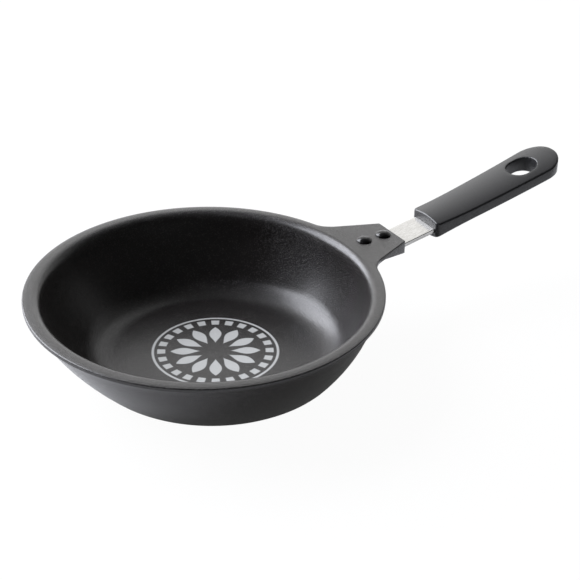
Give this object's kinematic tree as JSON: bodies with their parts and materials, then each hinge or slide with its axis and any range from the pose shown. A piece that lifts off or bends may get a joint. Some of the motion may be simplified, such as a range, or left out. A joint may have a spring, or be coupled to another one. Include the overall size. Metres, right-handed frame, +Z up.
{
  "type": "omelette pan",
  "caption": "Small round frying pan: coated cast aluminium bowl set off centre, riveted steel tang and a moulded grip with a hang hole.",
  "frame": {"origin": "centre of the flat base, on the face the pan stands on", "axes": "+Z up out of the bowl, +X along the handle towards the hang hole, mirror plane at Y = 0"},
  "size_m": [0.3845, 0.22, 0.081],
  "materials": {
    "coating": "non-stick coating on cast aluminium, satin",
    "strap_steel": "polished",
    "rivet_black": "gloss",
    "phenolic": "satin",
    "screw_steel": "satin"
  },
  "bodies": {
    "root": {"pan_body": "coating", "tang": "strap_steel", "rivets": "rivet_black", "grip": "phenolic", "grip_screw": "screw_steel"}
  },
  "joints": []
}
